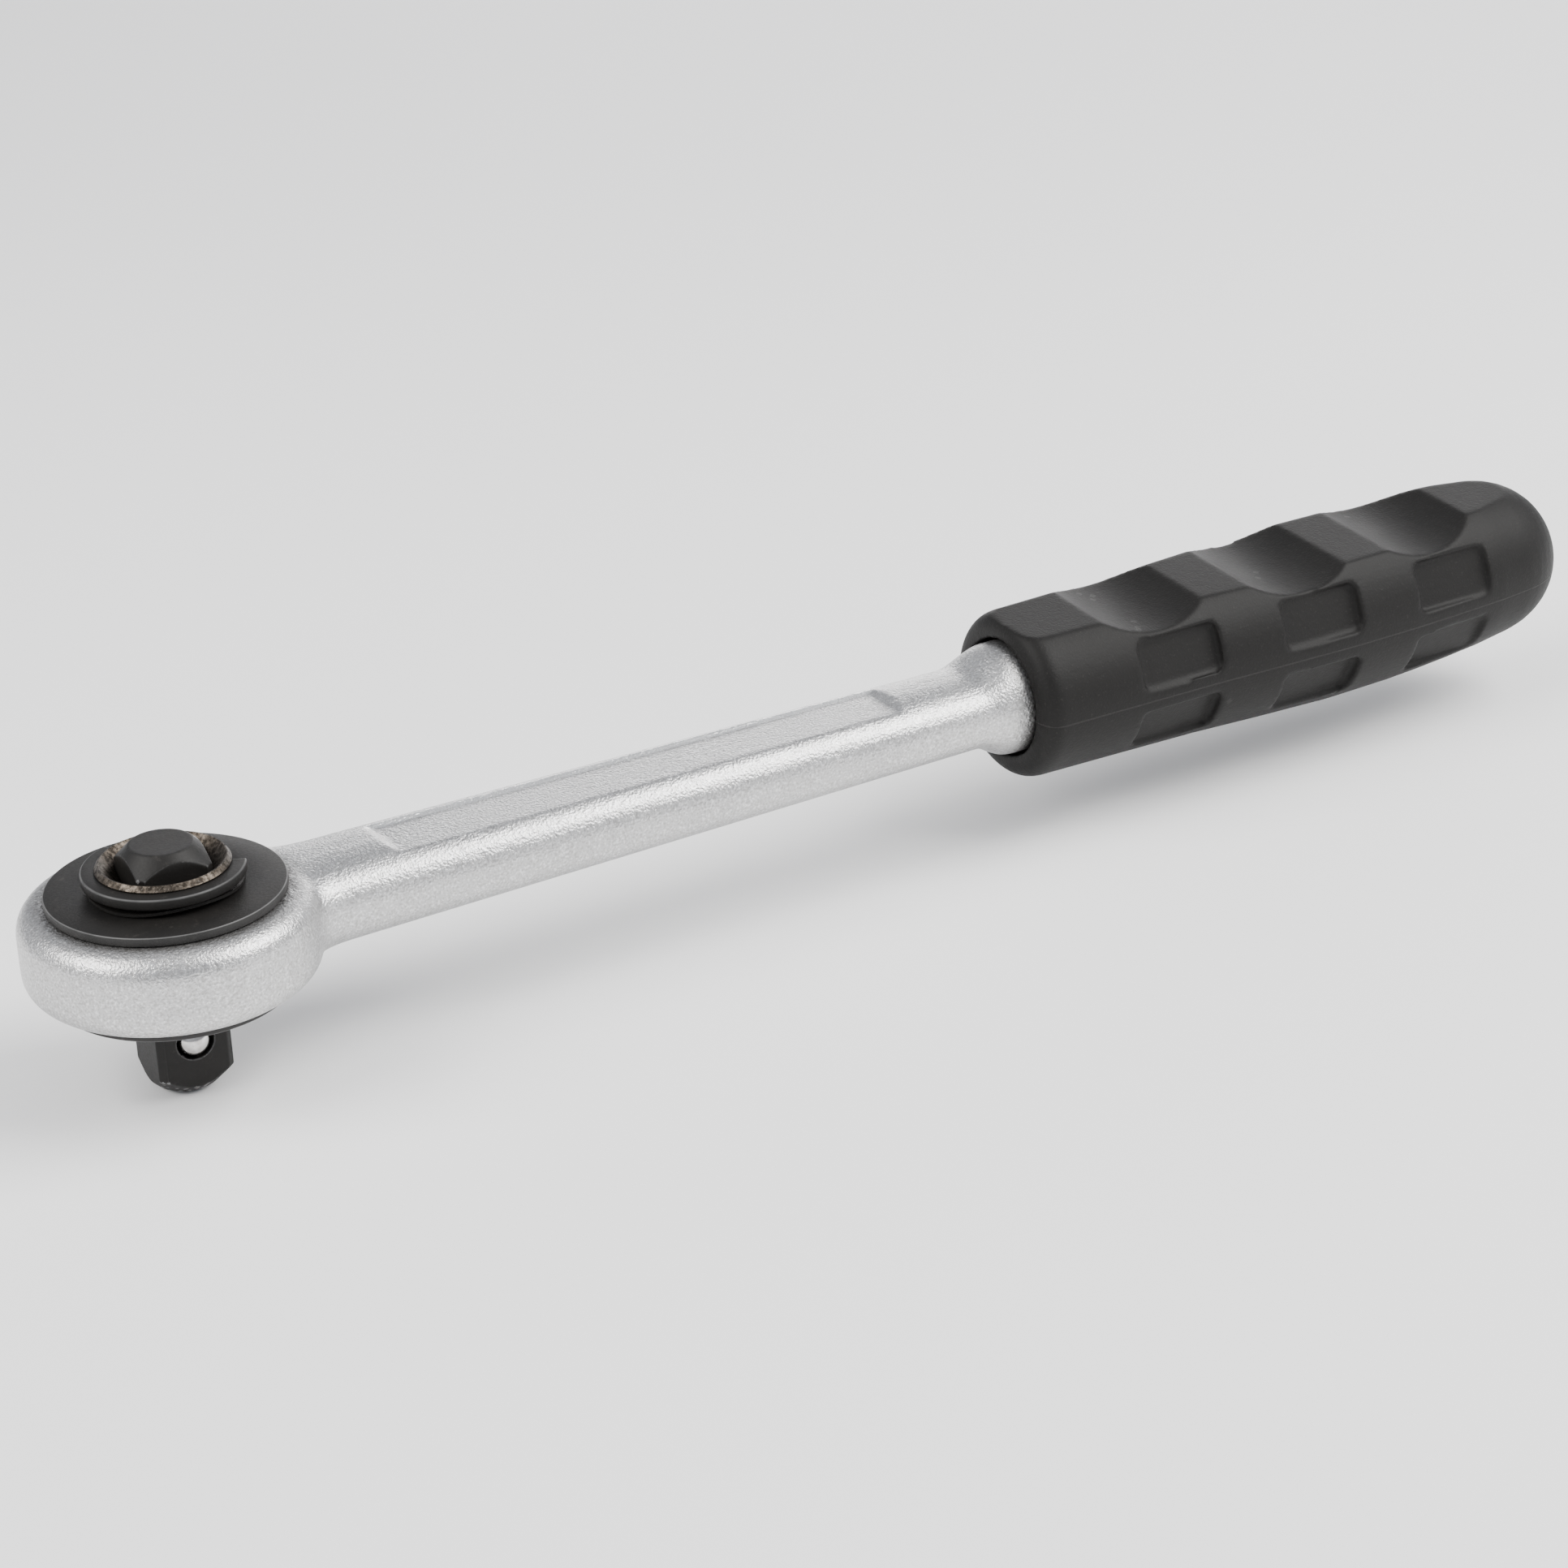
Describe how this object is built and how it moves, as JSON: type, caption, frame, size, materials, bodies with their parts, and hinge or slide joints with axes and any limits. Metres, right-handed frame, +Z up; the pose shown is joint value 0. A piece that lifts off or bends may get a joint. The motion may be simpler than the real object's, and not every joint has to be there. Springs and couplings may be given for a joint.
{
  "type": "ratchet wrench",
  "caption": "Push-through ratchet wrench with a round forged head, half-inch square drive, tapering shank and moulded grip.",
  "frame": {"origin": "centre of the lower end face of the square drive", "axes": "+Z up along the drive's axis, +X along the handle towards the grip's end"},
  "size_m": [0.3112, 0.0484, 0.0421],
  "materials": {
    "satin_chrome": "satin, fine-grained",
    "worn_steel": "worn, oiled",
    "black_oxide": "satin black oxide",
    "bright_steel": "polished",
    "spring_steel": "drawn wire",
    "tool_steel": "hardened",
    "black_plastic": "moulded, fine texture"
  },
  "bodies": {
    "handle": {"forged_body": "satin_chrome", "cover_disc_top": "black_oxide", "cover_disc_bottom": "black_oxide", "grip": "black_plastic", "tang_pin": "tool_steel", "pawl_spring": "spring_steel"},
    "wheel": {"ratchet_wheel": "worn_steel", "snap_ring_top": "black_oxide", "snap_ring_bottom": "black_oxide", "wave_washer": "spring_steel"},
    "drive": {"drive_square": "black_oxide", "ball_spring_lower": "spring_steel", "ball_spring_upper": "spring_steel"},
    "ball_lower": {"ball_lower": "bright_steel"},
    "ball_upper": {"ball_upper": "bright_steel"},
    "pawl": {"pawl": "tool_steel"}
  },
  "joints": [
    {"name": "wheel_spin", "type": "hinge", "parent": "handle", "child": "wheel", "pos_m": [0, 0, 0.0257], "axis": [0, 0, 1], "continuous": true},
    {"name": "drive_push", "type": "slide", "parent": "wheel", "child": "drive", "axis": [0, 0, 1], "range_m": [0, 0.0093]},
    {"name": "ball_lower_press", "type": "slide", "parent": "drive", "child": "ball_lower", "axis": [0.0523, 0.9986, 0], "range_m": [0, 0.0011], "stiffness_N_per_m": 2500, "springref_m": -0.0015, "deforming": ["ball_spring_lower"]},
    {"name": "ball_upper_press", "type": "slide", "parent": "drive", "child": "ball_upper", "axis": [0.0523, 0.9986, 0], "range_m": [0, 0.0011], "stiffness_N_per_m": 2500, "springref_m": -0.0015, "deforming": ["ball_spring_upper"]},
    {"name": "pawl_click", "type": "slide", "parent": "handle", "child": "pawl", "axis": [1, 0, 0], "range_m": [0, 0.0017], "stiffness_N_per_m": 1800, "springref_m": -0.002, "deforming": ["pawl_spring"]}
  ]
}
